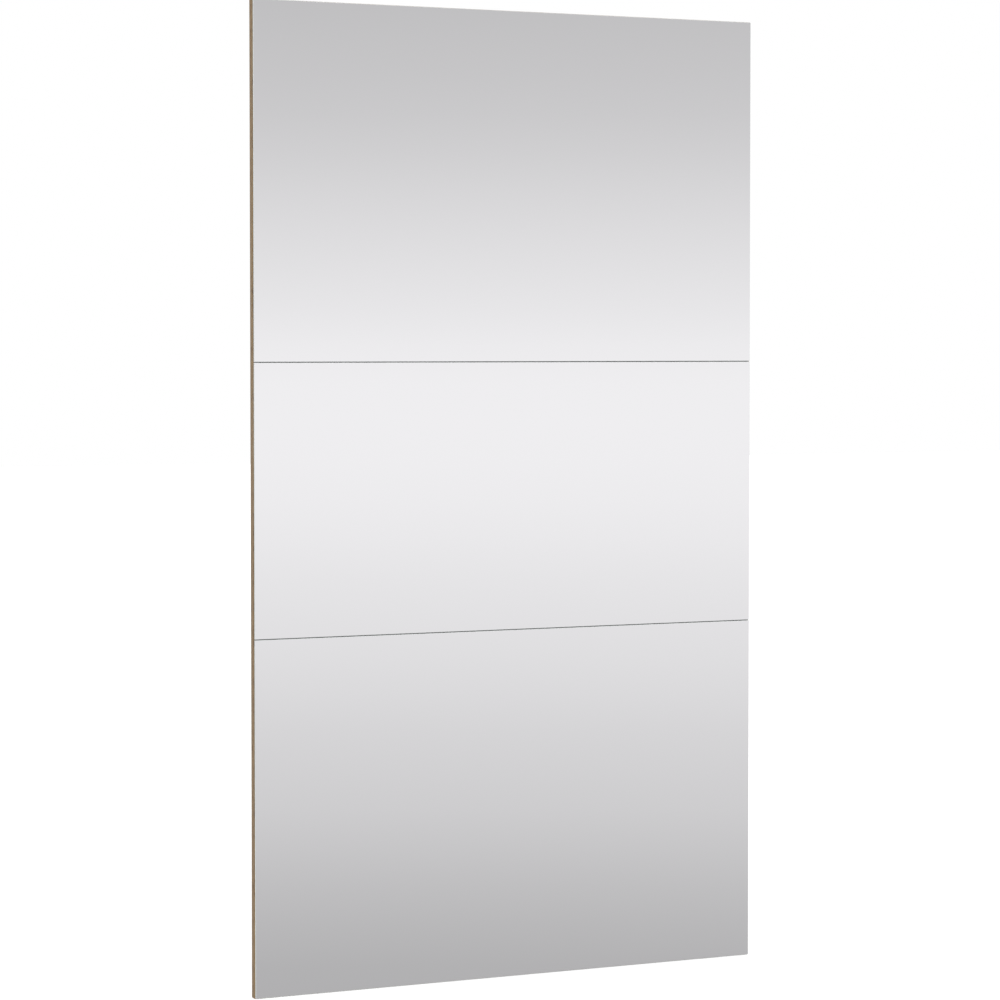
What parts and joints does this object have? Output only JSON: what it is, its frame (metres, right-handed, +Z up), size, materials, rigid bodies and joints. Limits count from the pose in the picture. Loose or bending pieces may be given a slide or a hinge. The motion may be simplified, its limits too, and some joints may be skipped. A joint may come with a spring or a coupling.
{
  "type": "mirrored sliding door",
  "caption": "Top-hung sliding wardrobe door leaf with stacked mirror panes, oak-decor edges, roller carriages and sprung floor guides on its rear face.",
  "frame": {"origin": "middle of the leaf's bottom edge, at the middle of the carrier board's thickness", "axes": "+X along the width to the right seen from the mirror side, +Y to the rear, so the mirrors face -Y, +Z up"},
  "size_m": [1.25, 0.0522, 2.22],
  "materials": {
    "oak_decor_board": "melamine oak decor, fine grain along the height",
    "oak_decor_band": "satin oak decor edge band",
    "silvered_glass": "silvered float glass, ground edges",
    "safety_film": "matt film",
    "foam_tape": "foam tape",
    "mirror_adhesive": "cured sealant",
    "zinc_plated_sheet": "bright zinc-plated pressed sheet",
    "wood_screw_steel": "bright zinc plate",
    "turned_steel": "turned, lightly oiled",
    "bearing_steel": "ground",
    "spring_steel": "drawn wire and stamped clips",
    "acetal_tyre": "moulded, satin",
    "grey_nylon": "moulded, satin",
    "black_plastic": "moulded"
  },
  "bodies": {
    "leaf": {"carrier_board": "oak_decor_board", "edge_band_left": "oak_decor_band", "edge_band_right": "oak_decor_band", "edge_band_top": "oak_decor_band", "edge_band_bottom": "oak_decor_band", "mirror_bottom": "silvered_glass", "safety_film_bottom": "safety_film", "mirror_tape_bottom": "foam_tape", "mirror_adhesive_bottom": "mirror_adhesive", "mirror_middle": "silvered_glass", "safety_film_middle": "safety_film", "mirror_tape_middle": "foam_tape", "mirror_adhesive_middle": "mirror_adhesive", "mirror_top": "silvered_glass", "safety_film_top": "safety_film", "mirror_tape_top": "foam_tape", "mirror_adhesive_top": "mirror_adhesive", "hanger_plate_left": "zinc_plated_sheet", "hanger_screws_left": "wood_screw_steel", "guide_bracket_left": "zinc_plated_sheet", "guide_screws_left": "wood_screw_steel", "guide_spring_left": "spring_steel", "hanger_plate_right": "zinc_plated_sheet", "hanger_screws_right": "wood_screw_steel", "guide_bracket_right": "zinc_plated_sheet", "guide_screws_right": "wood_screw_steel", "guide_spring_right": "spring_steel"},
    "carriage_left": {"carriage_frame_left": "zinc_plated_sheet", "wheel_axles_left": "turned_steel", "bearing_inner_rings_left": "bearing_steel", "height_nut_left": "turned_steel", "catch_rivet_left": "zinc_plated_sheet"},
    "wheel_left_outer": {"wheel_tyre_left_outer": "acetal_tyre", "wheel_bearing_left_outer": "bearing_steel"},
    "wheel_left_inner": {"wheel_tyre_left_inner": "acetal_tyre", "wheel_bearing_left_inner": "bearing_steel"},
    "height_screw_left": {"height_screw_left": "turned_steel", "screw_clip_left": "spring_steel"},
    "lift_catch_left": {"lift_catch_left": "grey_nylon"},
    "guide_pin_left": {"guide_pin_left": "turned_steel", "guide_sleeve_left": "acetal_tyre", "guide_clip_left": "spring_steel", "guide_knob_left": "black_plastic"},
    "carriage_right": {"carriage_frame_right": "zinc_plated_sheet", "wheel_axles_right": "turned_steel", "bearing_inner_rings_right": "bearing_steel", "height_nut_right": "turned_steel", "catch_rivet_right": "zinc_plated_sheet"},
    "wheel_right_outer": {"wheel_tyre_right_outer": "acetal_tyre", "wheel_bearing_right_outer": "bearing_steel"},
    "wheel_right_inner": {"wheel_tyre_right_inner": "acetal_tyre", "wheel_bearing_right_inner": "bearing_steel"},
    "height_screw_right": {"height_screw_right": "turned_steel", "screw_clip_right": "spring_steel"},
    "lift_catch_right": {"lift_catch_right": "grey_nylon"},
    "guide_pin_right": {"guide_pin_right": "turned_steel", "guide_sleeve_right": "acetal_tyre", "guide_clip_right": "spring_steel", "guide_knob_right": "black_plastic"}
  },
  "joints": [
    {"name": "height_turn_left", "type": "hinge", "parent": "leaf", "child": "height_screw_left", "pos_m": [-0.475, 0.0205, 2.11], "axis": [0, 0, 1], "range_deg": [-1440, 1440]},
    {"name": "height_slide_left", "type": "slide", "parent": "leaf", "child": "carriage_left", "axis": [0, 0, 1], "range_m": [-0.004, 0.004]},
    {"name": "wheel_spin_left_outer", "type": "hinge", "parent": "carriage_left", "child": "wheel_left_outer", "pos_m": [-0.509, 0.031, 2.1778], "axis": [0, 1, 0], "continuous": true},
    {"name": "wheel_spin_left_inner", "type": "hinge", "parent": "carriage_left", "child": "wheel_left_inner", "pos_m": [-0.441, 0.031, 2.1778], "axis": [0, 1, 0], "continuous": true},
    {"name": "catch_turn_left", "type": "hinge", "parent": "carriage_left", "child": "lift_catch_left", "pos_m": [-0.495, 0.0207, 2.153], "axis": [0, 0, 1], "range_deg": [0, 90]},
    {"name": "guide_lift_left", "type": "slide", "parent": "leaf", "child": "guide_pin_left", "axis": [0, 0, 1], "range_m": [0, 0.01], "stiffness_N_per_m": 1200, "springref_m": -0.006, "deforming": ["guide_spring_left"]},
    {"name": "height_turn_right", "type": "hinge", "parent": "leaf", "child": "height_screw_right", "pos_m": [0.475, 0.0205, 2.11], "axis": [0, 0, 1], "range_deg": [-1440, 1440]},
    {"name": "height_slide_right", "type": "slide", "parent": "leaf", "child": "carriage_right", "axis": [0, 0, 1], "range_m": [-0.004, 0.004]},
    {"name": "wheel_spin_right_outer", "type": "hinge", "parent": "carriage_right", "child": "wheel_right_outer", "pos_m": [0.509, 0.031, 2.1778], "axis": [0, 1, 0], "continuous": true},
    {"name": "wheel_spin_right_inner", "type": "hinge", "parent": "carriage_right", "child": "wheel_right_inner", "pos_m": [0.441, 0.031, 2.1778], "axis": [0, 1, 0], "continuous": true},
    {"name": "catch_turn_right", "type": "hinge", "parent": "carriage_right", "child": "lift_catch_right", "pos_m": [0.495, 0.0207, 2.153], "axis": [0, 0, -1], "range_deg": [0, 90]},
    {"name": "guide_lift_right", "type": "slide", "parent": "leaf", "child": "guide_pin_right", "axis": [0, 0, 1], "range_m": [0, 0.01], "stiffness_N_per_m": 1200, "springref_m": -0.006, "deforming": ["guide_spring_right"]}
  ],
  "couplings": [
    {"joint": "height_turn_left", "follows": "height_slide_left", "rad_per_m": -6283.2},
    {"joint": "height_turn_right", "follows": "height_slide_right", "rad_per_m": -6283.2}
  ]
}
